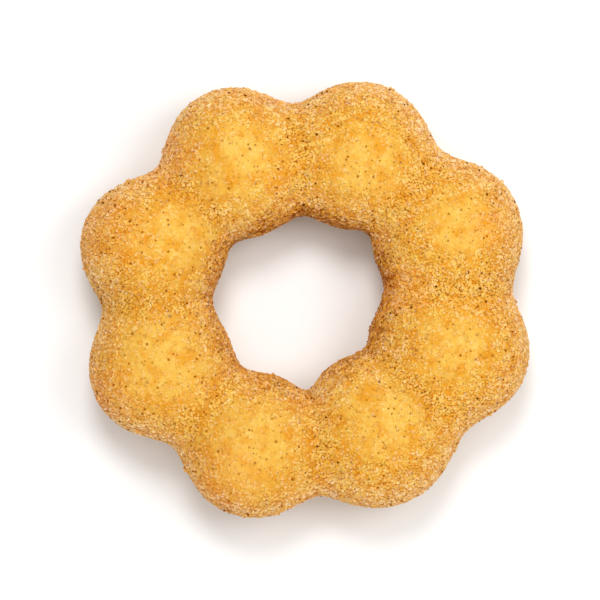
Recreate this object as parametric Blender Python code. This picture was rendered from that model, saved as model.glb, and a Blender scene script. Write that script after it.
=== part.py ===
"""Mochi doughnut: eight soft balls of dough, fried together into a ring and rolled in cinnamon sugar.

The doughnut lies flat on the plane z = 0 with its hole along Z. Units are metres, +Z up, and the
origin is the middle of its footprint. Seen from above, +X is the right-hand side and +Y the far side.
"""

import math
import random

import bpy
import numpy as np
from mathutils import Matrix, Vector

MM = 0.001

# The balls of dough, going round anticlockwise from the right. For each: its bearing in degrees, how near
# it comes to the middle of the hole, how far out its rim reaches, half its length along the ring, its height.
BALLS = (
    (24.7, 15.2 * MM, 44.0 * MM, 12.9 * MM, 24.6 * MM),
    (69.6, 14.9 * MM, 43.2 * MM, 12.8 * MM, 24.2 * MM),
    (116.1, 14.6 * MM, 43.3 * MM, 12.3 * MM, 25.0 * MM),
    (161.0, 16.9 * MM, 44.1 * MM, 12.1 * MM, 24.4 * MM),
    (204.8, 16.2 * MM, 43.6 * MM, 12.3 * MM, 24.8 * MM),
    (251.0, 15.2 * MM, 42.7 * MM, 12.6 * MM, 25.1 * MM),
    (299.0, 13.0 * MM, 42.8 * MM, 13.8 * MM, 24.7 * MM),
    (341.9, 13.5 * MM, 44.1 * MM, 12.8 * MM, 24.3 * MM),
)
# How widely each ball has run together with the next one: at the hole, and at the rim.
WELDS = (
    (1.3 * MM, 4.0 * MM),
    (2.7 * MM, 4.0 * MM),
    (2.9 * MM, 4.0 * MM),
    (3.3 * MM, 4.0 * MM),
    (2.6 * MM, 4.0 * MM),
    (0.5 * MM, 4.0 * MM),
    (1.4 * MM, 4.0 * MM),
    (2.6 * MM, 4.0 * MM),
)
WELD_SWELL = 0.15 * MM  # what the welds add to a ball's rim
WEDGE = 0.05  # a ball is this share longer at the rim than at its middle, and shorter at the hole
FOOT_DEPTH = 0.6 * MM  # how far each ball has sagged onto the surface that it lies on

# The faceted ring, with a line of corners along each weld
STEPS_ALONG = 12 * len(BALLS)
STEPS_ROUND = 32
TORUS_RADII = (30.0 * MM, 10.0 * MM)  # before its corners are moved out to the crust
FIRST_REACH = 8.0 * MM  # well inside the dough
PASSES = 30  # of moving a corner on, out to the crust
FLOOR_CUTTER = (120.0 * MM, 120.0 * MM, 20.0 * MM)

# The coarsest sugar crystals, stuck to the crust
CRYSTALS = 230
CRYSTAL = (0.95 * MM, 0.80 * MM, 0.72 * MM)
CRYSTAL_UNLIKENESS = 0.18  # how much a side may differ from the usual one, as a share
CRYSTAL_SINK = 0.12 * MM  # how far a crystal's middle lies under the skin
CRYSTAL_LEAN = 0.6  # radians
CRYSTAL_GAP = 4.5 * MM  # least distance between two of them
LOWEST_CRYSTAL = 1.5 * MM
CROWN_LEFT = 0.45  # the share left on the very top and bottom of a ball, where most have rubbed off
TRIES = 6000  # places drawn at random, of which the well spread ones are kept
NUDGE = 0.001  # a small step over the crust, to tell which way it faces
SEED = 8

CRUST_COLOUR = (0.78, 0.40, 0.09, 1.0)
CRUST_ROUGHNESS = 0.75


def clear_scene():
    for obj in list(bpy.data.objects):
        bpy.data.objects.remove(obj, do_unlink=True)


def new_collection(name):
    collection = bpy.data.collections.new(name)
    bpy.context.scene.collection.children.link(collection)
    return collection


def move_into(collection, obj):
    for other in list(obj.users_collection):
        other.objects.unlink(obj)
    collection.objects.link(obj)


def apply_modifier(obj, modifier):
    bpy.ops.object.select_all(action="DESELECT")
    bpy.context.view_layer.objects.active = obj
    obj.select_set(True)
    bpy.ops.object.modifier_apply(modifier=modifier.name)


def middle_of(ball):
    bearing, inner, outer, _, height = ball
    distance = (inner + outer) / 2
    angle = math.radians(bearing)
    return distance * math.cos(angle), distance * math.sin(angle), (height - FOOT_DEPTH) / 2


def half_sizes_of(ball):
    """Half a ball's size across the ring, along it, and upwards."""
    _, inner, outer, half_length, height = ball
    return (outer - inner) / 2 - WELD_SWELL, half_length, (height + FOOT_DEPTH) / 2


def between_balls(rows, turn):
    """A row of values given for each ball, read at any turn: 0 is the first ball, 1 the next, and so on."""
    rows = np.asarray(rows)
    first = np.floor(turn).astype(int)
    share = (turn - first)[:, None]
    return rows[first % len(rows)] * (1 - share) + rows[(first + 1) % len(rows)] * share


def outward_from_hole(points):
    """The level directions that lead from the middle of the hole to points, and how far away they are."""
    distance = np.hypot(points[:, 0], points[:, 1])
    return points * (1, 1, 0) / distance[:, None], distance


def weld_width(points, turn, core):
    """How widely the dough has run together at each point, from the hole's side of the ring to the rim's."""
    at_hole, at_rim = between_balls(WELDS, turn - 0.5).T
    beyond_core = outward_from_hole(points)[1] - outward_from_hole(core)[1]
    share = np.clip(0.5 + beyond_core / (2 * half_sizes_of(BALLS[0])[0]), 0, 1)
    return at_hole * (1 - share) + at_rim * share


def height_over_dough(points, width):
    """Roughly how far points are out of the dough, less than 0 inside it: all its balls, run together."""
    total = 0
    for ball in BALLS:
        middle = np.array(middle_of(ball))
        across, along, upwards = half_sizes_of(ball)
        way_out = middle[:2] / np.hypot(*middle[:2])
        offset = points - middle
        out = offset[:, :2] @ way_out / across
        side = offset[:, :2] @ (-way_out[1], way_out[0]) / (along * (1 + WEDGE * np.clip(out, -1, 1)))
        size_here = np.sqrt(out**2 + side**2 + (offset[:, 2] / upwards) ** 2)
        total = total + np.exp(np.linalg.norm(offset, axis=1) * (1 / size_here - 1) / width)
    return -width * np.log(total)


def skin(turn, tilt):
    """Points of the crust, met on the way out of the dough's core at a turn round the ring and a tilt."""
    core = between_balls([middle_of(ball) for ball in BALLS], turn)
    outward = outward_from_hole(core)[0]
    way = outward * np.cos(tilt)[:, None] + (0, 0, 1) * np.sin(tilt)[:, None]
    points = core + way * FIRST_REACH
    for _ in range(PASSES):
        still_to_go = -height_over_dough(points, weld_width(points, turn, core))
        points = points + way * still_to_go[:, None]
    return points


def make_ring(collection):
    """The dough: a torus whose every corner is moved out to the crust."""
    major, minor = TORUS_RADII
    bpy.ops.mesh.primitive_torus_add(
        major_segments=STEPS_ALONG, minor_segments=STEPS_ROUND, major_radius=major, minor_radius=minor
    )
    ring = bpy.context.object
    ring.name = ring.data.name = "doughnut"
    corners = np.array([corner.co for corner in ring.data.vertices])
    turn = np.arctan2(corners[:, 1], corners[:, 0]) / (2 * math.pi) * len(BALLS)
    tilt = np.arctan2(corners[:, 2], np.hypot(corners[:, 0], corners[:, 1]) - major)
    ring.data.vertices.foreach_set("co", skin(turn, tilt).ravel())
    ring.data.update()
    move_into(collection, ring)
    return ring


def flatten_feet(ring, cutters):
    """Cuts off what reaches under the plane z = 0, so that each ball stands on a flat foot."""
    bpy.ops.mesh.primitive_cube_add(size=1)
    floor = bpy.context.object
    floor.name = "floor_cutter"
    floor.matrix_world = Matrix.LocRotScale((0, 0, -FLOOR_CUTTER[2] / 2), None, FLOOR_CUTTER)
    floor.hide_render = True
    floor.display_type = "WIRE"
    move_into(cutters, floor)
    cut = ring.modifiers.new("feet", "BOOLEAN")
    cut.operation = "DIFFERENCE"
    cut.object = floor
    apply_modifier(ring, cut)


def crystal_places():
    """Where the coarsest crystals sit and which way the crust faces there: well spread, few on crowns."""
    draw = np.random.default_rng(SEED)
    turn = draw.uniform(0, len(BALLS), TRIES)
    tilt = draw.uniform(-math.pi, math.pi, TRIES)
    here = skin(turn, tilt)
    facing = np.cross(skin(turn + NUDGE, tilt) - here, skin(turn, tilt + NUDGE) - here)
    room = np.linalg.norm(facing, axis=1)
    facing /= room[:, None]
    wanted = room / room.max() * (1 - (1 - CROWN_LEFT) * np.abs(facing[:, 2]) ** 3)
    possible = (draw.random(TRIES) < wanted) & (here[:, 2] > LOWEST_CRYSTAL)
    kept = []
    for number in np.flatnonzero(possible):
        if all(math.dist(here[number], here[other]) > CRYSTAL_GAP for other in kept):
            kept.append(number)
    kept = kept[:CRYSTALS]
    return [(Vector(place), Vector(way)) for place, way in zip(here[kept], facing[kept])]


def add_crystals(ring, crystals):
    """Blocky sugar crystals, each about half sunk in the crust, joined to it by one Boolean union."""
    draw = random.Random(SEED)
    bpy.ops.mesh.primitive_cube_add(size=1)
    first_block = bpy.context.object
    block = first_block.data
    bpy.data.objects.remove(first_block)
    for number, (place, facing) in enumerate(crystal_places()):
        crystal = bpy.data.objects.new(f"crystal_{number:03d}", block)
        crystals.objects.link(crystal)
        size = [side * draw.uniform(1 - CRYSTAL_UNLIKENESS, 1 + CRYSTAL_UNLIKENESS) for side in CRYSTAL]
        spin = Matrix.Rotation(draw.uniform(0, math.pi), 3, "Z")
        lean = Matrix.Rotation(draw.uniform(0, CRYSTAL_LEAN), 3, "X")
        turned = facing.to_track_quat("Z", "Y") @ (spin @ lean).to_quaternion()
        crystal.matrix_world = Matrix.LocRotScale(place - facing * CRYSTAL_SINK, turned, size)
    join = ring.modifiers.new("crystals", "BOOLEAN")
    join.operation = "UNION"
    join.operand_type = "COLLECTION"
    join.collection = crystals
    apply_modifier(ring, join)
    for crystal in list(crystals.objects):
        bpy.data.objects.remove(crystal)


def crust_material():
    material = bpy.data.materials.new("cinnamon_sugar_crust")
    material.use_nodes = True
    shader = material.node_tree.nodes["Principled BSDF"]
    shader.inputs["Base Color"].default_value = CRUST_COLOUR
    shader.inputs["Roughness"].default_value = CRUST_ROUGHNESS
    shader.inputs["Metallic"].default_value = 0.0
    return material


def main():
    clear_scene()
    ring = make_ring(new_collection("mochi_doughnut"))
    flatten_feet(ring, new_collection("cutters"))
    add_crystals(ring, new_collection("crystals"))
    ring.data.materials.clear()
    ring.data.materials.append(crust_material())


main()
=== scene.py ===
"""The look of the mochi doughnut: fried dough, rolled in cinnamon sugar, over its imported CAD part."""

import math

import bmesh
import bpy
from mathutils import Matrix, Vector


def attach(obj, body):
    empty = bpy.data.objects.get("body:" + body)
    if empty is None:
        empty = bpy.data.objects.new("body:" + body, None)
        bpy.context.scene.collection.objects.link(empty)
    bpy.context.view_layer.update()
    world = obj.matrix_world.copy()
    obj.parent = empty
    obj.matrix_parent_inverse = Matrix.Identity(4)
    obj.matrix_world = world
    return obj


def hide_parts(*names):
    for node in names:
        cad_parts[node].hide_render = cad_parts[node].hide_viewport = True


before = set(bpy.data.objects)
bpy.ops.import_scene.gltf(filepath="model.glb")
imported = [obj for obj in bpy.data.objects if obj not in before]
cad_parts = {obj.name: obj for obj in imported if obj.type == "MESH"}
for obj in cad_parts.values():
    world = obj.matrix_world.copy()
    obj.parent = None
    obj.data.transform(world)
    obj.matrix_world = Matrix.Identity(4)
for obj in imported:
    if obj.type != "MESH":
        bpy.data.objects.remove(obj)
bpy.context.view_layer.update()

MM = 0.001

# The balls of dough, going round anticlockwise from the right. For each: its bearing in degrees, how near
# it comes to the middle of the hole, how far out its rim reaches, half its length along the ring, its height.
BALLS = (
    (24.7, 15.2 * MM, 44.0 * MM, 12.9 * MM, 24.6 * MM),
    (69.6, 14.9 * MM, 43.2 * MM, 12.8 * MM, 24.2 * MM),
    (116.1, 14.6 * MM, 43.3 * MM, 12.3 * MM, 25.0 * MM),
    (161.0, 16.9 * MM, 44.1 * MM, 12.1 * MM, 24.4 * MM),
    (204.8, 16.2 * MM, 43.6 * MM, 12.3 * MM, 24.8 * MM),
    (251.0, 15.2 * MM, 42.7 * MM, 12.6 * MM, 25.1 * MM),
    (299.0, 13.0 * MM, 42.8 * MM, 13.8 * MM, 24.7 * MM),
    (341.9, 13.5 * MM, 44.1 * MM, 12.8 * MM, 24.3 * MM),
)
# How widely each ball has run together with the next one: at the hole, and at the rim.
WELDS = (
    (1.3 * MM, 4.0 * MM),
    (2.7 * MM, 4.0 * MM),
    (2.9 * MM, 4.0 * MM),
    (3.3 * MM, 4.0 * MM),
    (2.6 * MM, 4.0 * MM),
    (0.5 * MM, 4.0 * MM),
    (1.4 * MM, 4.0 * MM),
    (2.6 * MM, 4.0 * MM),
)
# Where the sugar has rubbed off each ball's crown: how far to the right and to the far side of the middle of
# the doughnut, and how far the patch reaches from there.
BARE_PATCHES = (
    (28.4 * MM, 13.6 * MM, 6.0 * MM),
    (11.4 * MM, 25.4 * MM, 7.0 * MM),
    (-11.6 * MM, 26.4 * MM, 8.5 * MM),
    (-22.5 * MM, 11.3 * MM, 8.0 * MM),
    (-26.7 * MM, -11.7 * MM, 8.5 * MM),
    (-9.3 * MM, -27.3 * MM, 9.0 * MM),
    (15.2 * MM, -21.7 * MM, 7.5 * MM),
    (28.4 * MM, -9.4 * MM, 6.5 * MM),
)
# Where redder cinnamon has stuck to the crust, given in the same way.
RUSTY_PATCHES = (
    (34.0 * MM, 13.5 * MM, 4.5 * MM),
    (18.9 * MM, 1.9 * MM, 5.0 * MM),
    (-25.0 * MM, 27.0 * MM, 6.0 * MM),
    (-36.0 * MM, 12.0 * MM, 7.5 * MM),
    (-37.0 * MM, -17.0 * MM, 7.0 * MM),
    (-14.5 * MM, -32.5 * MM, 7.5 * MM),
)
WELD_SWELL = 0.15 * MM  # how much the welds add to a ball's reach
WEDGE = 0.05  # the share by which a ball is wider at its rim, and narrower at the hole
FOOT_DEPTH = 0.6 * MM  # how much of each ball its flat foot cuts off
DOUGH_STEPS = {"Steps_Along": 480, "Steps_Round": 160}
LEVEL = (1.0, 1.0, 0.0)  # times this, a vector keeps only its level part
NOISE_SPREAD = 3.0  # times this, noise about 0 reaches from about -1 to 1

# Between the first value and the second, sugar comes to cover all of the crust.
BARE_EDGE = (0.2, 1.9)  # the distance from the middle of a bare patch, in sizes of the patch
SUGARED_SLOPE = (0.2, 0.6)  # steepness: 0 is level and 1 is upright
UNDERSIDE = (14.0 * MM, 11.0 * MM)  # height

# Between these two values of steepness, the crown of a ball turns into its flank, which is frostier.
FLANK_SLOPE = (0.05, 0.65)

# The crust is darker in the valleys by the welds, and more where it turns down into the hole, where it is
# partly a cinnamon stain and partly painted shade. In the hole it comes in between the first value and the
# second.
VALLEY_REACH = 0.16  # to either side of a weld, in steps from ball to ball
VALLEY_DARKENING = 0.3
HOLE_SLOPE = (0.6, 0.97)  # how squarely the crust faces the middle of the hole
HOLE_HEIGHT = (5.0 * MM, 11.0 * MM)
HOLE_STAIN_AND_SHADE = (0.78, 1.14)  # the least of it, on the side of the hole that is lit, and the most, on the side in shade, as painted shade
SHADED_SIDE = (0.6, 0.8, 0.0)  # the way to the side of the hole that lies in shade, which gets the most painted shade
DARKER_REACH = (-14.0 * MM, 18.0 * MM)  # where it goes from least to most, measured that way

# The kinds of sugar crystal: name, which share of the crystals it is, the colour that it mixes with the
# crust's, and the least and most of it.
SUGAR_KINDS = (
    ("sugar_frosted", -1.0, 0.36, (0.94, 0.71, 0.44), 0.26, 0.6),
    ("sugar_straw", 0.36, 0.46, (0.90, 0.61, 0.24), 0.2, 0.7),
    ("sugar_gold", 0.46, 0.56, (0.83, 0.45, 0.075), 0.0, 0.6),
    ("sugar_tan", 0.56, 0.66, (0.75, 0.35, 0.024), 0.15, 0.65),
    ("sugar_amber", 0.66, 2.0, (0.58, 0.205, 0.004), 0.15, 0.6),
)
COARSE_FROST = ((0.93, 0.72, 0.42), 0.2, 0.6)  # the same for the coarse crystals
HOLE_FROST = (0.95, 0.45, 0.08)  # what a crystal's own colour turns towards round the hole, partly a stain and partly painted shade
POWDER = (0.42, 0.108, 0.0)
HOLE_POWDER = (0.32, 0.062, 0.0)  # the same, round the hole, where it is partly painted shade
RUST = (0.85, 0.13, 0.0)
MOST_RUST = 0.12  # the share of it in the middle of a rusty patch
# The flecks of cinnamon bark are strewn as the sugar is, with these settings.
FLECKS = {
    "Grains_per_m2": 0.52e5,
    "Least_Gap": 0.7 * MM,
    "Share_on_Bare_Crust": 0.3,
    "Smallest": (0.2 * MM, 0.18 * MM, 0.34 * MM),
    "Largest": (0.44 * MM, 0.38 * MM, 0.5 * MM),
    "Lowest_Seat": 0.08 * MM,
    "Highest_Seat": 0.24 * MM,
    "Bare_Seat": -0.12 * MM,
    "Seed": 21,
}
DARK_BARK = (0.15, 0.034, 0.0)
LIGHT_BARK = (0.44, 0.12, 0.001)
BARK_ON_BARE_CRUST = (0.58, 0.16, 0.0)
BARK_GRAIN = (0.04, 0.007, 0.0)
CRUST_GLOSS = 0.04
BARK_GLOSS = 0.02
DOUGH_ROUGHNESS = (0.5, 0.75)  # where it is oily, and where it is dry
SUGAR_ROUGHNESS = (0.3, 0.5)
BARK_ROUGHNESS = (0.85, 0.95)

CREASE_ANGLE = math.radians(35)  # sharper than any crease between two balls
WIDEST_CRYSTAL = 2.2 * MM
SAME_CORNER = 0.001 * MM
SUGAR_DEPTH = 0.35 * MM  # how far the grains stand on the dough and on the coarse crystals
ROOT_DEPTH = 0.3 * MM  # how far a coarse crystal goes on under the crust

# The lamps: name, bearing and height in degrees, size in metres and power in watts.
LAMPS = (
    ("lamp_at_back", 96.0, 63.0, 0.2, 1.5),
    ("lamp_at_right", 15.0, 57.0, 0.3, 1.09),
    ("softbox_overhead", 88.0, 84.0, 0.5, 1.12),
    ("softbox_in_front", -90.0, 15.0, 0.3, 1.21),
)
LAMP_DISTANCE = 0.6
WALL_LIGHT = 0.38
FLOOR_REACH = 1.5
TABLE_COLOUR = (0.88, 0.88, 0.88)
TABLE_ROUGHNESS = 0.7
CAMERA_PLACE = (-0.85 * MM, 0.0, 0.6408)
LENS = 200.0
SENSOR_WIDTH = 36.0

SEED = 8
TAU = 2 * math.pi


class Wire:
    """What a node puts out. Arithmetic on wires adds the nodes that do it."""

    def __init__(self, bench, socket):
        self.bench = bench
        self.socket = socket

    def __add__(self, other):
        return self.bench.maths("ADD", self, other)

    def __sub__(self, other):
        return self.bench.maths("SUBTRACT", self, other)

    def __rsub__(self, other):
        return self.bench.maths("SUBTRACT", other, self)

    def __mul__(self, other):
        return self.bench.maths("MULTIPLY", self, other)

    def __truediv__(self, other):
        return self.bench.maths("DIVIDE", self, other)

    def __rtruediv__(self, other):
        return self.bench.maths("DIVIDE", other, self)

    def other_output(self, name):
        """Another output of the node that this wire comes from."""
        return Wire(self.bench, socket_in_use(self.socket.node.outputs, name))


def between(share, low, high):
    """The value that lies a share of the way from low to high."""
    return share * (high - low) + low


def socket_in_use(sockets, name=None):
    """The first socket, or the one of that name, that the node's settings leave in use."""
    return next(socket for socket in sockets if socket.enabled and name in (None, socket.name))


def is_vector(value):
    if isinstance(value, Wire):
        return value.socket.type in ("VECTOR", "RGBA")
    return isinstance(value, tuple)


class Bench:
    """A node tree that is being wired up."""

    def __init__(self, tree):
        self.tree = tree

    def plug(self, socket, value):
        """Leads a wire into a socket, or sets the socket to a plain value."""
        if isinstance(value, Wire):
            self.tree.links.new(value.socket, socket)
        elif socket.type == "RGBA":
            socket.default_value = (*value, 1.0)
        elif socket.type == "VECTOR" and not is_vector(value):
            socket.default_value = (value, value, value)
        else:
            socket.default_value = value

    def add(self, kind, inputs=(), output=None, **settings):
        """Adds a node, and gives the wire from its first output or from the one that is named."""
        node = self.tree.nodes.new(kind)
        for name, value in settings.items():
            setattr(node, name, value)
        for name, value in dict(inputs).items():
            self.plug(socket_in_use(node.inputs, name), value)
        return Wire(self, socket_in_use(node.outputs, output))

    def maths(self, operation, *values):
        """A Math node, or a Vector Math node where a vector goes in."""
        kind = "ShaderNodeVectorMath" if any(map(is_vector, values)) else "ShaderNodeMath"
        node = self.tree.nodes.new(kind)
        node.operation = operation
        for socket, value in zip(node.inputs, values):
            self.plug(socket, value)
        return Wire(self, socket_in_use(node.outputs))

    def group(self, tree, **inputs):
        """A node that holds another tree. Its inputs are named with _ for a space."""
        node = self.tree.nodes.new(self.tree.bl_idname.replace("Tree", "Group"))
        node.node_tree = tree
        for name, value in inputs.items():
            self.plug(node.inputs[name.replace("_", " ")], value)
        return Wire(self, node.outputs[0])

    def vector(self, x, y, z):
        return self.add("ShaderNodeCombineXYZ", {"X": x, "Y": y, "Z": z})

    def parts(self, vector):
        """The X, Y and Z of a vector."""
        x = self.add("ShaderNodeSeparateXYZ", {"Vector": vector})
        return x, x.other_output("Y"), x.other_output("Z")

    def noise(self, place, size, detail=2.0):
        """Soft noise about 0, nearly all of it between -1 and 1, in lumps of about a size."""
        inputs = {"Vector": place, "Scale": 1.0 / size, "Detail": detail}
        return (self.add("ShaderNodeTexNoise", inputs) - 0.5) * NOISE_SPREAD

    def ramp(self, value, low, high):
        """0 below low, 1 above high and an even curve between them, also where low is above high."""
        inputs = {"Value": value, "From Min": low, "From Max": high}
        return self.add("ShaderNodeMapRange", inputs, interpolation_type="SMOOTHSTEP")

    def mix(self, share, first, second):
        """Two colours mixed, with a share of the second."""
        inputs = {"Factor": share, "A": first, "B": second}
        return self.add("ShaderNodeMix", inputs, data_type="RGBA")

    def attribute(self, name, data_type="FLOAT"):
        return self.add("GeometryNodeInputNamedAttribute", {"Name": name}, data_type=data_type)

    def store(self, geometry, name, value, data_type="FLOAT", domain="POINT"):
        inputs = {"Geometry": geometry, "Name": name, "Value": value}
        return self.add("GeometryNodeStoreNamedAttribute", inputs, data_type=data_type, domain=domain)

    def forget(self, geometry, *names):
        """Geometry without some of what is stored on it."""
        for name in names:
            geometry = self.add("GeometryNodeRemoveAttribute", {"Geometry": geometry, "Name": name})
        return geometry

    def moved(self, geometry, how, where):
        """Geometry with its corners moved to a Position or by an Offset."""
        return self.add("GeometryNodeSetPosition", {"Geometry": geometry, how: where})

    def wearing(self, geometry, material):
        return self.add("GeometryNodeSetMaterial", {"Geometry": geometry, "Material": material})

    def sample(self, geometry, value, index):
        """A vector read from one corner of another geometry."""
        inputs = {"Geometry": geometry, "Value": value, "Index": index}
        return self.add("GeometryNodeSampleIndex", inputs, data_type="FLOAT_VECTOR")

    def repeat(self, passes, kind, name, first, once):
        """Does once, which is given the value so far and the number of the pass, a number of times."""
        start = self.tree.nodes.new("GeometryNodeRepeatInput")
        end = self.tree.nodes.new("GeometryNodeRepeatOutput")
        start.pair_with_output(end)
        end.repeat_items.clear()
        end.repeat_items.new(kind, name)
        self.plug(start.inputs["Iterations"], passes)
        self.plug(start.inputs[name], first)
        so_far = Wire(self, start.outputs[name])
        number = Wire(self, start.outputs["Iteration"])
        self.plug(end.inputs[name], once(so_far, number))
        return Wire(self, end.outputs[name])


def new_group(name, kind, inputs, outputs):
    """A node group and the bench for wiring it. Inputs are (name, type, value) and outputs (name, type)."""
    tree = bpy.data.node_groups.new(name, kind)
    for title, socket, value in inputs:
        item = tree.interface.new_socket(title, in_out="INPUT", socket_type="NodeSocket" + socket)
        if value is not None:
            item.default_value = value
    for title, socket in outputs:
        tree.interface.new_socket(title, in_out="OUTPUT", socket_type="NodeSocket" + socket)
    bench = Bench(tree)
    entry = tree.nodes.new("NodeGroupInput")
    given = {title: Wire(bench, entry.outputs[title]) for title, _, _ in inputs}
    exit_node = tree.nodes.new("NodeGroupOutput")
    return bench, given, exit_node


def height_over_dough_group():
    """Roughly how far a point is out of the dough, less than 0 inside it: all its balls, run together."""
    bench, given, result = new_group(
        "Height over dough",
        "GeometryNodeTree",
        (("Balls", "Geometry", None), ("Weld Width", "Float", 2.5 * MM), ("Wedge", "Float", WEDGE)),
        (("Height", "Float"),),
    )
    place = bench.add("GeometryNodeInputPosition")

    def with_next_ball(total, number):
        middle = bench.sample(given["Balls"], place, number)
        across, along, upwards = bench.parts(
            bench.sample(given["Balls"], bench.attribute("half_sizes", "FLOAT_VECTOR"), number)
        )
        way_out = bench.maths("NORMALIZE", middle * LEVEL)
        offset = place - middle
        out = bench.maths("DOT_PRODUCT", offset, way_out) / across
        out_held = bench.maths("MAXIMUM", bench.maths("MINIMUM", out, 1.0), -1.0)
        way_along = bench.maths("CROSS_PRODUCT", (0.0, 0.0, 1.0), way_out)
        sideways = bench.maths("DOT_PRODUCT", offset, way_along)
        side = sideways / (along * (out_held * given["Wedge"] + 1.0))
        up = bench.parts(offset)[2] / upwards
        size_here = bench.maths("LENGTH", bench.vector(out, side, up))
        depth = bench.maths("LENGTH", offset) * (1.0 / size_here - 1.0)
        return total + bench.maths("EXPONENT", depth / given["Weld Width"])

    total = bench.repeat(len(BALLS), "FLOAT", "Total", 0.0, with_next_ball)
    height = bench.maths("LOGARITHM", total, math.e) * given["Weld Width"] * -1.0
    bench.plug(result.inputs["Height"], height)
    return bench.tree


def dough_ring_tree():
    """Lays corners round the ring of balls, moves each out to the crust and roughens the crust."""
    bench, given, result = new_group(
        "Dough ring",
        "GeometryNodeTree",
        (
            ("Balls", "Geometry", None),
            ("Steps Along", "Int", 96),
            ("Steps Round", "Int", 32),
            ("Wedge", "Float", WEDGE),
            ("First Reach", "Float", 8.0 * MM),
            ("Passes", "Int", 30),
            ("Waviness", "Float", 0.16 * MM),
            ("Roughness", "Float", 0.07 * MM),
            ("Sugar Depth", "Float", SUGAR_DEPTH),
            ("Foot Lift", "Float", 0.12 * MM),
            ("Material", "Material", None),
        ),
        (("Dough", "Geometry"),),
    )
    balls = given["Balls"]
    count = float(len(BALLS))
    number = bench.add("GeometryNodeInputIndex")
    steps_along = given["Steps Along"]
    steps_round = given["Steps Round"]

    # What size the ring and its section have here makes no difference, as every corner is moved.
    ring = bench.add("GeometryNodeCurvePrimitiveCircle", {"Resolution": steps_along, "Radius": 30.0 * MM})
    ring = bench.store(ring, "turn", number * count / steps_along)
    section = bench.add("GeometryNodeCurvePrimitiveCircle", {"Resolution": steps_round, "Radius": 10.0 * MM})
    section = bench.store(section, "rise", number * -TAU / steps_round)
    skin = bench.add("GeometryNodeCurveToMesh", {"Curve": ring, "Profile Curve": section})

    turn = bench.attribute("turn")
    rise = bench.attribute("rise")

    def between_balls(value, turn_here):
        first = bench.maths("FLOOR", turn_here)
        here = bench.sample(balls, value, bench.maths("FLOORED_MODULO", first + 0.0, count))
        there = bench.sample(balls, value, bench.maths("FLOORED_MODULO", first + 1.0, count))
        return between(turn_here - first, here, there)

    place = bench.add("GeometryNodeInputPosition")
    core = between_balls(place, turn)
    outward = bench.maths("NORMALIZE", core * LEVEL)
    way = outward * bench.maths("COSINE", rise) + bench.vector(0.0, 0.0, bench.maths("SINE", rise))
    skin = bench.store(skin, "core", core, "FLOAT_VECTOR")
    skin = bench.store(skin, "way", way, "FLOAT_VECTOR")
    at_hole, at_rim, _ = bench.parts(between_balls(bench.attribute("welds", "FLOAT_VECTOR"), turn - 0.5))
    skin = bench.store(skin, "weld_at_hole", at_hole)
    skin = bench.store(skin, "weld_at_rim", at_rim)
    core = bench.attribute("core", "FLOAT_VECTOR")
    way = bench.attribute("way", "FLOAT_VECTOR")
    skin = bench.moved(skin, "Position", core + way * given["First Reach"])

    def level_distance(point):
        return bench.maths("LENGTH", point * LEVEL)

    width = 2 * half_sizes_of(BALLS[0])[0]
    beyond_core = level_distance(place) - level_distance(core)
    towards_rim = bench.add("ShaderNodeClamp", {"Value": beyond_core / width + 0.5})
    weld_width = between(towards_rim, bench.attribute("weld_at_hole"), bench.attribute("weld_at_rim"))
    height = bench.group(height_over_dough_group(), Balls=balls, Weld_Width=weld_width, Wedge=given["Wedge"])

    def closer_to_crust(geometry, _):
        return bench.moved(geometry, "Offset", way * (height * -1.0))

    skin = bench.repeat(given["Passes"], "GEOMETRY", "Skin", skin, closer_to_crust)

    # Sugar covers all but the ragged bare patches.
    ball = bench.maths("FLOORED_MODULO", bench.maths("FLOOR", turn + 0.5), count)
    patch = bench.sample(balls, bench.attribute("bare_patch", "FLOAT_VECTOR"), ball)
    patch_x, patch_y, patch_size = bench.parts(patch)
    away = level_distance(place - bench.vector(patch_x, patch_y, 0.0)) / patch_size
    ragged = away + bench.noise(place, 5.0 * MM, 4.0) * 0.45 + bench.noise(place, 1.8 * MM) * 0.3
    covered = bench.ramp(ragged, *BARE_EDGE)
    facing = bench.add("GeometryNodeInputNormal")
    x, y, z = bench.parts(place)
    steepness = 1.0 - bench.maths("ABSOLUTE", bench.parts(facing)[2])
    underneath = bench.ramp(z, *UNDERSIDE)
    on_slope = bench.maths("MAXIMUM", underneath, bench.ramp(steepness, *SUGARED_SLOPE))
    skin = bench.store(skin, "sugar", bench.maths("MAXIMUM", covered, on_slope))
    flank = bench.ramp(steepness + bench.noise(place, 2.5 * MM) * 0.15, *FLANK_SLOPE)
    skin = bench.store(skin, "flank", flank)

    # The valleys at the welds and the upper wall of the hole are darkened: round the hole partly a cinnamon
    # stain and partly painted shade, with more painted shade on the side of the hole that lies in shade.
    from_weld = bench.maths("ABSOLUTE", bench.maths("FRACT", turn) - 0.5)
    valley = bench.ramp(from_weld + bench.noise(place, 3.0 * MM) * 0.05, VALLEY_REACH, 0.0)
    inward = bench.maths("NORMALIZE", place * (-1.0, -1.0, 0.0))
    towards_hole = bench.maths("DOT_PRODUCT", facing, inward)
    round_hole = bench.ramp(towards_hole + bench.noise(place, 2.5 * MM) * 0.06, *HOLE_SLOPE)
    round_hole = round_hole * bench.ramp(z, *HOLE_HEIGHT)
    darker = bench.ramp(bench.maths("DOT_PRODUCT", place, SHADED_SIDE), *DARKER_REACH)
    round_hole = round_hole * between(darker, *HOLE_STAIN_AND_SHADE)
    in_valley = valley * (1.0 - flank) * VALLEY_DARKENING
    skin = bench.store(skin, "stained", bench.maths("MAXIMUM", in_valley, round_hole))

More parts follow.
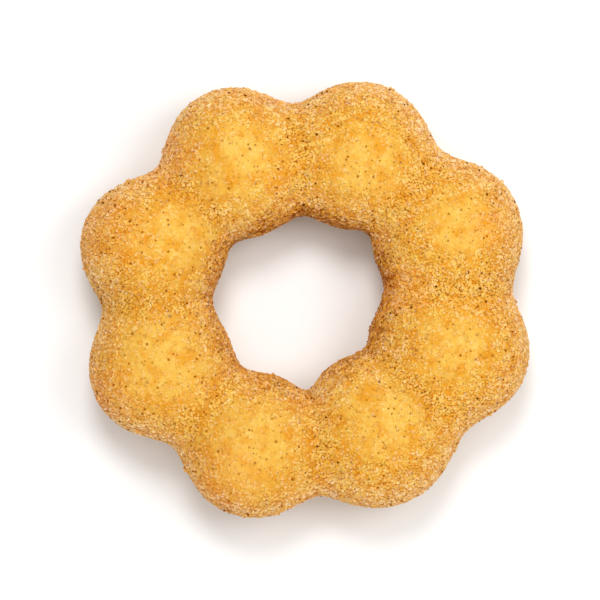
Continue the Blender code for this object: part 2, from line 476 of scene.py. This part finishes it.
    # The crust waves and crumbles, and its feet stay just off the table.
    sugar = bench.attribute("sugar")
    waves = bench.noise(place, 8.0 * MM) * given["Waviness"]
    crumbs = bench.noise(place, 1.3 * MM) * given["Roughness"] * between(sugar, 0.3, 1.0)
    skin = bench.moved(skin, "Offset", facing * (waves + crumbs - given["Sugar Depth"]))
    lifted = bench.vector(x, y, bench.maths("MAXIMUM", z, given["Foot Lift"]))
    skin = bench.moved(skin, "Position", lifted)
    skin = bench.forget(skin, "turn", "rise", "core", "way", "weld_at_hole", "weld_at_rim")
    skin = bench.add("GeometryNodeSetShadeSmooth", {"Geometry": skin, "Shade Smooth": True})
    skin = bench.add("GeometryNodeRealizeInstances", {"Geometry": skin})
    skin = bench.wearing(skin, given["Material"])
    bench.plug(result.inputs["Dough"], skin)
    return bench.tree


def grains_tree():
    """Scatters blocky grains over the crust, and keeps the share of them that is one kind."""
    bench, given, result = new_group(
        "Grains on crust",
        "GeometryNodeTree",
        (
            ("Crust", "Geometry", None),
            ("Grains per m2", "Float", 2e7),
            ("Least Gap", "Float", 0.38 * MM),
            ("Share on Bare Crust", "Float", 0.5),
            ("Kinds from", "Float", 0.0),
            ("Kinds to", "Float", 1.0),
            ("Staining", "Float", 0.3),
            ("Smallest", "Vector", (0.32 * MM, 0.32 * MM, 0.28 * MM)),
            ("Largest", "Vector", (0.62 * MM, 0.62 * MM, 0.52 * MM)),
            ("Lean", "Vector", (0.35, 0.35, 0.0)),
            ("Unevenness", "Float", 0.25),
            ("Lowest Seat", "Float", -0.1 * MM),
            ("Highest Seat", "Float", 0.11 * MM),
            ("Bare Seat", "Float", -0.14 * MM),
            ("Pile", "Float", 0.15 * MM),
            ("Map Cells", "Int", 128),
            ("Seed", "Int", SEED),
            ("Material", "Material", None),
        ),
        (("Grains", "Geometry"),),
    )
    seed = given["Seed"]

    def chance(low, high, number, kind="FLOAT"):
        inputs = {"Min": low, "Max": high, "Seed": seed + float(number)}
        return bench.add("FunctionNodeRandomValue", inputs, data_type=kind)

    place = bench.add("GeometryNodeInputPosition")
    sugar = bench.attribute("sugar")
    points = bench.add(
        "GeometryNodeDistributePointsOnFaces",
        {
            "Mesh": given["Crust"],
            "Distance Min": given["Least Gap"],
            "Density Max": given["Grains per m2"],
            "Density Factor": between(sugar, given["Share on Bare Crust"], 1.0),
            "Seed": seed,
        },
        distribute_method="POISSON",
    )

    # A grain sits deep where the crust is bare, and high in the valleys and round the hole, where the crust
    # is darkened by stain and painted shade.
    facing = points.other_output("Normal")
    turned = points.other_output("Rotation")
    seat = chance(given["Lowest Seat"], given["Highest Seat"], 1)
    seat = between(sugar, given["Bare Seat"], seat)
    seat = seat + bench.attribute("stained") * given["Pile"]
    points = bench.moved(points, "Offset", facing * seat)

    # Its kind is drawn by lot, but grains that lie together are more alike, and so are those on the crowns.
    stain = bench.ramp(bench.noise(place, 2.2 * MM), -1.0, 1.0)
    kind = chance(0.0, 1.0, 2) * (1.0 - given["Staining"]) + stain * given["Staining"]
    kind = (kind - 0.5) * between(bench.attribute("flank"), 0.6, 1.0) + 0.5
    points = bench.store(points, "kind", kind)
    kind = bench.attribute("kind")
    above = bench.maths("GREATER_THAN", kind, given["Kinds from"])
    below = bench.maths("LESS_THAN", kind, given["Kinds to"])
    points = bench.add("GeometryNodeSeparateGeometry", {"Geometry": points, "Selection": above * below})
    number = bench.add("GeometryNodeInputIndex")
    points = bench.store(points, "cell", number)
    points = bench.store(points, "tint", chance(0.0, 1.0, 3))

    # Each grain is a block of its own size, turned and leant its own way, with uneven corners.
    block = bench.add("GeometryNodeMeshCube", {"Size": 1.0})
    block = bench.store(block, "OFBake", block.other_output("UV Map"), "FLOAT2", "CORNER")
    block = bench.store(block, "tip", bench.parts(place)[2] + 0.5)
    most_lean = given["Lean"] + (0.0, 0.0, TAU)
    least_lean = given["Lean"] * -1.0
    lean = chance(least_lean, most_lean, 4, "FLOAT_VECTOR")
    lean = bench.add("FunctionNodeEulerToRotation", {"Euler": lean})
    inputs = {"Rotation": turned, "Rotate By": lean}
    turned = bench.add("FunctionNodeRotateRotation", inputs, rotation_space="LOCAL")
    size = chance(given["Smallest"], given["Largest"], 5, "FLOAT_VECTOR")
    inputs = {"Points": points, "Instance": block, "Rotation": turned, "Scale": size}
    grains = bench.add("GeometryNodeInstanceOnPoints", inputs)
    grains = bench.add("GeometryNodeRealizeInstances", {"Geometry": grains})
    wobble = chance((-0.5, -0.5, -0.5), (0.5, 0.5, 0.5), 6, "FLOAT_VECTOR")
    grains = bench.moved(grains, "Offset", wobble * given["Smallest"] * given["Unevenness"])
    x, y, z = bench.parts(place)
    grains = bench.moved(grains, "Position", bench.vector(x, y, bench.maths("MAXIMUM", z, 0.0)))

    # Each grain's faces have their own cell of the map. The little bit more keeps whole numbers whole.
    cells = given["Map Cells"]
    cell = bench.attribute("cell") + 0.001
    column = bench.maths("FLOOR", bench.maths("FLOORED_MODULO", cell, cells))
    row = bench.maths("FLOOR", cell / cells)
    spread = (bench.attribute("OFBake", "FLOAT_VECTOR") + bench.vector(column, row, 0.0)) / cells
    grains = bench.store(grains, "OFBake", spread, "FLOAT2", "CORNER")
    grains = bench.forget(grains, "cell", "kind")
    grains = bench.wearing(grains, given["Material"])
    bench.plug(result.inputs["Grains"], grains)
    return bench.tree


def made_by(name, tree, start, **values):
    """Runs a tree on a mesh and keeps what it makes as a plain mesh. Inputs are named with _ for a space."""
    piece = bpy.data.objects.new(name, start)
    bpy.context.scene.collection.objects.link(piece)
    maker = piece.modifiers.new(tree.name, "NODES")
    maker.node_group = tree
    sockets = {item.name: item.identifier for item in tree.interface.items_tree}
    for title, value in values.items():
        maker[sockets[title.replace("_", " ")]] = value
    evaluated = piece.evaluated_get(bpy.context.evaluated_depsgraph_get())
    mesh = bpy.data.meshes.new_from_object(evaluated)
    if len(mesh.materials) > 1 and mesh.materials[0] is None:
        mesh.materials.pop(index=0)  # an instanced block brings an empty slot
    piece.modifiers.clear()
    piece.data = mesh
    mesh.name = name
    return piece


def middle_of(ball):
    bearing, inner, outer, _, height = ball
    distance = (inner + outer) / 2
    angle = math.radians(bearing)
    return distance * math.cos(angle), distance * math.sin(angle), (height - FOOT_DEPTH) / 2


def half_sizes_of(ball):
    """Half a ball's size across the ring, along it, and upwards."""
    _, inner, outer, half_length, height = ball
    return (outer - inner) / 2 - WELD_SWELL, half_length, (height + FOOT_DEPTH) / 2


def ball_points():
    """A point in the middle of each ball, with what the dough ring's tree needs to know of it."""
    mesh = bpy.data.meshes.new("balls")
    mesh.from_pydata([middle_of(ball) for ball in BALLS], [], [])
    facts = {
        "half_sizes": [half_sizes_of(ball) for ball in BALLS],
        "welds": [(at_hole, at_rim, 0.0) for at_hole, at_rim in WELDS],
        "bare_patch": BARE_PATCHES,
    }
    for name, rows in facts.items():
        attribute = mesh.attributes.new(name, "FLOAT_VECTOR", "POINT")
        for point, row in zip(attribute.data, rows):
            point.vector = row
    return mesh


def lots_between_creases(part, creases):
    """The faces of a mesh in lots that creases part from each other, in the same order each run."""
    seen = set()
    lots = []
    for first in part.faces:
        if first in seen:
            continue
        seen.add(first)
        lot = [first]
        for face in lot:
            smooth_edges = (edge for edge in face.edges if edge not in creases)
            for neighbour in (other for edge in smooth_edges for other in edge.link_faces):
                if neighbour not in seen:
                    seen.add(neighbour)
                    lot.append(neighbour)
        lots.append(lot)
    return lots


def is_crease(edge):
    """Whether two faces meet there in a sharp hollow, as they do where a crystal stands on the crust."""
    return len(edge.link_faces) == 2 and edge.calc_face_angle_signed() < -CREASE_ANGLE


def place_of(face):
    return tuple(face.calc_center_median())


def coarse_sugar():
    """The CAD part's own crystals, each closed again under the skin."""
    part = bmesh.new()
    part.from_mesh(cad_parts["doughnut"].data)
    bmesh.ops.remove_doubles(part, verts=part.verts, dist=SAME_CORNER)
    part.normal_update()
    creases = {edge for edge in part.edges if is_crease(edge)}
    whole = bmesh.new()
    for lot in lots_between_creases(part, creases):
        corners = list(dict.fromkeys(corner for face in lot for corner in face.verts))
        if max((corner.co - corners[0].co).length for corner in corners) > WIDEST_CRYSTAL:
            continue
        roots = [corner for corner in corners if any(edge in creases for edge in corner.link_edges)]
        inward = sum((face.normal * -face.calc_area() for face in lot), Vector()).normalized()
        made = [whole.verts.new(corner.co + inward * SUGAR_DEPTH) for corner in corners]
        made += [whole.verts.new(corner.co + inward * (SUGAR_DEPTH + ROOT_DEPTH)) for corner in roots]
        hull = bmesh.ops.convex_hull(whole, input=made)
        inside = dict.fromkeys(hull["geom_interior"] + hull["geom_unused"])
        spare = [item for item in inside if isinstance(item, bmesh.types.BMVert)]
        bmesh.ops.delete(whole, geom=spare, context="VERTS")
    for number, face in enumerate(sorted(whole.faces, key=place_of)):
        face.index = number
    whole.faces.sort()
    bmesh.ops.recalc_face_normals(whole, faces=whole.faces)
    mesh = bpy.data.meshes.new("coarse_sugar")
    whole.to_mesh(mesh)
    return mesh


def worn_crystals_tree():
    """Wears the crystals' corners unevenly, and gives each a tint and what the crust under it is like."""
    bench, given, result = new_group(
        "Worn crystals",
        "GeometryNodeTree",
        (
            ("Crystals", "Geometry", None),
            ("Crust", "Object", None),
            ("Unevenness", "Float", 0.16 * MM),
            ("Lump Size", "Float", 0.45 * MM),
            ("Tip Height", "Float", 0.4 * MM),
            ("Seed", "Int", SEED),
            ("Material", "Material", None),
        ),
        (("Worn Crystals", "Geometry"),),
    )
    crystals = given["Crystals"]
    crust = bench.add("GeometryNodeObjectInfo", {"Object": given["Crust"]}, output="Geometry")
    for name in ("sugar", "flank", "stained"):
        inputs = {"Mesh": crust, "Value": bench.attribute(name)}
        below = bench.add("GeometryNodeSampleNearestSurface", inputs, data_type="FLOAT")
        crystals = bench.store(crystals, name, below)
    over_crust = bench.add("GeometryNodeProximity", {"Geometry": crust}, output="Distance")
    crystals = bench.store(crystals, "tip", bench.ramp(over_crust, 0.0, given["Tip Height"]))
    island = bench.add("GeometryNodeInputMeshIsland", output="Island Index")
    inputs = {"Min": 0.0, "Max": 1.0, "ID": island, "Seed": given["Seed"]}
    crystals = bench.store(crystals, "tint", bench.add("FunctionNodeRandomValue", inputs, data_type="FLOAT"))
    place = bench.add("GeometryNodeInputPosition")
    inputs = {"Vector": place, "Scale": 1.0 / given["Lump Size"]}
    wear = bench.add("ShaderNodeTexNoise", inputs, output="Color") - (0.5, 0.5, 0.5)
    crystals = bench.moved(crystals, "Offset", wear * given["Unevenness"] * NOISE_SPREAD)
    crystals = bench.wearing(crystals, given["Material"])
    bench.plug(result.inputs["Worn Crystals"], crystals)
    return bench.tree


def joined(*meshes):
    """One mesh of several, with what is stored on them."""
    whole = bmesh.new()
    for mesh in meshes:
        whole.from_mesh(mesh)
    mesh = bpy.data.meshes.new("joined")
    whole.to_mesh(mesh)
    return mesh


def new_material(name):
    material = bpy.data.materials.new(name)
    material.use_nodes = True
    return material, Bench(material.node_tree), material.node_tree.nodes["Principled BSDF"]


def crust_colour_group():
    """The colour of the crust at a place, partly painted shade, and how much powder and redder cinnamon lie
    there.
    """
    bench, given, result = new_group(
        "Crust colour",
        "ShaderNodeTree",
        (
            ("Place", "Vector", None),
            ("Sugar", "Float", 1.0),
            ("Flank", "Float", 0.0),
            ("Stain and Shade", "Float", 0.0),
            ("Crevice", "Float", 0.0),
            ("Straw", "Color", (0.90, 0.63, 0.22, 1.0)),
            ("Light Gold", "Color", (0.745, 0.458, 0.08, 1.0)),
            ("Deep Gold", "Color", (0.69, 0.31, 0.023, 1.0)),
            ("Amber", "Color", (0.68, 0.26, 0.003, 1.0)),
            ("Cinnamon", "Color", (0.30, 0.062, 0.0, 1.0)),
            ("Dust", "Color", (0.93, 0.62, 0.35, 1.0)),
            ("Speck", "Color", (0.30, 0.085, 0.0, 1.0)),
            ("Speck Spacing", "Float", 1.0 * MM),
        ),
        (("Colour", "Color"), ("Powder", "Float"), ("Rust", "Float")),
    )
    place = given["Place"]
    sugar = given["Sugar"]
    flank = given["Flank"]
    stained = given["Stain and Shade"]

    # Dough, from light to deep gold, with small straw places and amber stains; the amber is also painted
    # shade in crevices under the sugar, at the feet of grains and round the hole.
    gold_here = bench.ramp(bench.noise(place, 3.0 * MM), -0.4, 0.7)
    colour = bench.mix(gold_here, given["Light Gold"], given["Deep Gold"])
    straw = bench.noise(place, 0.5 * MM) + bench.noise(place, 1.8 * MM) * 0.8
    colour = bench.mix(bench.ramp(straw, 0.0, 1.4) * 0.9, colour, given["Straw"])
    amber = bench.noise(place, 2.2 * MM, 3.0) + stained * 0.8
    amber_here = bench.ramp(amber, -0.1, 0.9) * between(sugar, 0.53, 0.65)
    amber_here = bench.maths("MAXIMUM", amber_here, sugar * given["Crevice"])
    colour = bench.mix(amber_here, colour, given["Amber"])

    # Cinnamon in marks and freckles, and cinnamon that is partly painted shade between the grains, on the
    # flanks and round the hole.
    marks = bench.noise(place, 1.0 * MM) + bench.noise(place, 3.5 * MM) * 0.5 + stained * 0.5 + flank * 0.25
    cinnamon_here = bench.ramp(marks, 0.35, 1.2) * between(sugar, 0.5, 0.7)
    freckles = bench.noise(place, 0.4 * MM) + bench.noise(place, 2.0 * MM) * 0.7
    freckles_here = bench.ramp(freckles, 0.5, 1.3) * 0.65
    crevice_here = bench.maths("MAXIMUM", flank * 0.35, stained) * given["Crevice"]
    for share in (freckles_here, crevice_here):
        cinnamon_here = bench.maths("MAXIMUM", cinnamon_here, share)
    colour = bench.mix(cinnamon_here, colour, given["Cinnamon"])

    # Pale sugar dust on the flanks, and specks of many sizes.
    colour = bench.mix(flank * sugar * (1.0 - stained) * 0.25, colour, given["Dust"])
    inputs = {"Vector": place, "Scale": 1.0 / given["Speck Spacing"]}
    from_speck = bench.add("ShaderNodeTexVoronoi", inputs)
    one, other, _ = bench.parts(from_speck.other_output("Color"))
    in_speck = bench.ramp(from_speck, between(one, 0.2, 0.45), one * 0.12)
    speck_here = in_speck * bench.ramp(other, 0.0, 0.8) * 0.95
    bench.plug(result.inputs["Colour"], bench.mix(speck_here, colour, given["Speck"]))

    # Powdered cinnamon that lies on the grains.
    powder = bench.noise(place, 0.55 * MM) + bench.noise(place, 1.8 * MM) * 0.65
    powder_here = bench.ramp(powder + stained * 0.65 + flank * 0.1, 0.6, 1.3)
    bench.plug(result.inputs["Powder"], powder_here * between(stained, 0.7, 0.9))

    rust = 0.0
    for across, beyond, reach in RUSTY_PATCHES:
        level_distance = bench.maths("LENGTH", (place - (across, beyond, 0.0)) * LEVEL)
        away = level_distance / reach + bench.noise(place, 3.0 * MM) * 0.25
        rust = bench.maths("MAXIMUM", bench.ramp(away, 1.3, 0.3), rust)
    bench.plug(result.inputs["Rust"], rust)
    return bench.tree


def place_on_piece(bench):
    return bench.add("ShaderNodeTexCoord", output="Object")


def stored_on_piece(bench, *names):
    """What is stored on the piece under a name, or under each of several."""
    wires = [bench.add("ShaderNodeAttribute", output="Fac", attribute_name=name) for name in names]
    return wires if len(wires) > 1 else wires[0]


def crust_here(bench, crust_colour, place, crevice):
    """The crust's colour at a place. Its other outputs are the powder and the rust there."""
    sugar, flank, stained = stored_on_piece(bench, "sugar", "flank", "stained")
    inputs = {"Sugar": sugar, "Flank": flank, "Stain and Shade": stained}
    return bench.group(crust_colour, Place=place, Crevice=crevice, **inputs)


def rusted(bench, crust, colour):
    """A colour on the crust, redder where more cinnamon has stuck to it."""
    return bench.mix(crust.other_output("Rust") * MOST_RUST, colour, RUST)


def dough_material(crust_colour):
    """Fried dough: soft and a little oily where it is bare."""
    material, bench, shader = new_material("fried_dough")
    place = place_on_piece(bench)
    # Under the sugar the dough is painted amber, and on the flanks and round the hole cinnamon, as painted
    # shade between the grains.
    crust = crust_here(bench, crust_colour, place, 0.95)
    dryness = bench.ramp(bench.noise(place, 1.5 * MM), -1.2, 1.2)
    bench.plug(shader.inputs["Base Color"], rusted(bench, crust, crust))
    bench.plug(shader.inputs["Roughness"], between(dryness, *DOUGH_ROUGHNESS))
    bench.plug(shader.inputs["Specular IOR Level"], CRUST_GLOSS)
    return material


def sugar_material(crust_colour, name, frost, least, most):
    """Sugar that shows the crust through it. Each crystal mixes in its own share of frost, least to most."""
    material, bench, shader = new_material(name)
    place = place_on_piece(bench)
    sugar, flank, stained, tint = stored_on_piece(bench, "sugar", "flank", "stained", "tint")
    # A crystal's tip takes the frost and its foot the crust's amber and cinnamon: painted light through the
    # clear sugar, and painted shade at its foot.
    tip = bench.ramp(stored_on_piece(bench, "tip"), 0.3, 0.9)
    crust = crust_here(bench, crust_colour, place, (1.0 - tip) * 0.8)
    clumps = bench.ramp(bench.noise(place, 1.6 * MM), -0.8, 0.8)
    drifted = between(flank, 0.5, 1.0) * between(sugar, 0.5, 0.95) * between(clumps, 0.65, 1.35)
    frosting = between(tint, least, most) * drifted * (tip + 0.06)
    frosting = frosting * (stained * between(tint, -0.9, 0.7) + 1.0)  # more uneven round the hole, where the crust is stained and painted with shade
    # Round the hole the frost turns orange and the powder darker, partly as painted shade.
    frosted = bench.mix(frosting, crust, bench.mix(stained * 0.5, frost, HOLE_FROST))
    powder = bench.mix(stained * 0.6, POWDER, HOLE_POWDER)
    powdered = bench.mix(crust.other_output("Powder"), frosted, powder)
    bench.plug(shader.inputs["Base Color"], rusted(bench, crust, powdered))
    bench.plug(shader.inputs["Roughness"], between(tint, *SUGAR_ROUGHNESS))
    bench.plug(shader.inputs["Specular IOR Level"], CRUST_GLOSS)
    return material


def fleck_material():
    """Ground cinnamon bark: dark, dry and dull."""
    material, bench, shader = new_material("cinnamon_bark")
    tint, sugar = stored_on_piece(bench, "tint", "sugar")
    grain = bench.ramp(bench.noise(place_on_piece(bench), 0.15 * MM), -1.0, 1.0)
    bark = bench.mix(bench.ramp(tint, 0.1, 0.7), DARK_BARK, LIGHT_BARK)
    bark = bench.mix((1.0 - sugar) * 0.6, bark, BARK_ON_BARE_CRUST)
    bench.plug(shader.inputs["Base Color"], bench.mix(grain * 0.4, bark, BARK_GRAIN))
    bench.plug(shader.inputs["Roughness"], between(grain, *BARK_ROUGHNESS))
    bench.plug(shader.inputs["Specular IOR Level"], BARK_GLOSS)
    return material


def make_floor():
    mesh = bpy.data.meshes.new("floor")
    corners = [(x * FLOOR_REACH, y * FLOOR_REACH, 0.0) for x, y in ((-1, -1), (1, -1), (1, 1), (-1, 1))]
    mesh.from_pydata(corners, [], [(0, 1, 2, 3)])
    floor = bpy.data.objects.new("floor", mesh)
    bpy.context.scene.collection.objects.link(floor)
    material, bench, shader = new_material("white_table")
    bench.plug(shader.inputs["Base Color"], TABLE_COLOUR)
    bench.plug(shader.inputs["Roughness"], TABLE_ROUGHNESS)
    mesh.materials.append(material)


def make_lamp(name, bearing, height, size, power):
    """A round lamp at a bearing round the doughnut and a height above the table, in degrees."""
    lamp = bpy.data.lights.new(name, "AREA")
    lamp.shape = "DISK"
    lamp.size = size
    lamp.energy = power
    stand = bpy.data.objects.new(name, lamp)
    bpy.context.scene.collection.objects.link(stand)
    bearing, height = math.radians(bearing), math.radians(height)
    level = math.cos(height)
    way = Vector((level * math.cos(bearing), level * math.sin(bearing), math.sin(height)))
    stand.location = way * LAMP_DISTANCE
    stand.rotation_mode = "QUATERNION"
    stand.rotation_quaternion = way.to_track_quat("Z", "Y")


def make_lights():
    world = bpy.data.worlds.new("white_studio")
    world.use_nodes = True
    walls = world.node_tree.nodes["Background"]
    walls.inputs["Color"].default_value = (1.0, 1.0, 1.0, 1.0)
    walls.inputs["Strength"].default_value = WALL_LIGHT
    bpy.context.scene.world = world
    for lamp in LAMPS:
        make_lamp(*lamp)


def make_camera():
    camera = bpy.data.objects.new("camera", bpy.data.cameras.new("camera"))
    bpy.context.scene.collection.objects.link(camera)
    camera.data.lens = LENS
    camera.data.sensor_width = SENSOR_WIDTH
    camera.location = CAMERA_PLACE
    bpy.context.scene.camera = camera


make_camera()
make_lights()
make_floor()

crust_colour = crust_colour_group()
dough = made_by(
    "dough",
    dough_ring_tree(),
    ball_points(),
    Material=dough_material(crust_colour),
    **DOUGH_STEPS,
)
coarse = made_by(
    "coarse_sugar",
    worn_crystals_tree(),
    coarse_sugar(),
    Crust=dough,
    Material=sugar_material(crust_colour, "coarse_sugar", *COARSE_FROST),
)
crust = joined(dough.data, coarse.data)
grains = grains_tree()
for name, low, high, frost, least, most in SUGAR_KINDS:
    kind = made_by(
        name,
        grains,
        crust.copy(),
        Kinds_from=low,
        Kinds_to=high,
        Material=sugar_material(crust_colour, name, frost, least, most),
    )
    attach(kind, "root")

flecks = made_by(
    "cinnamon_flecks",
    grains,
    dough.data.copy(),
    Material=fleck_material(),
    **FLECKS,
)
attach(flecks, "root")

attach(coarse, "root")

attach(dough, "root")
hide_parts("doughnut")

bpy.context.scene.view_settings.view_transform = "Standard"
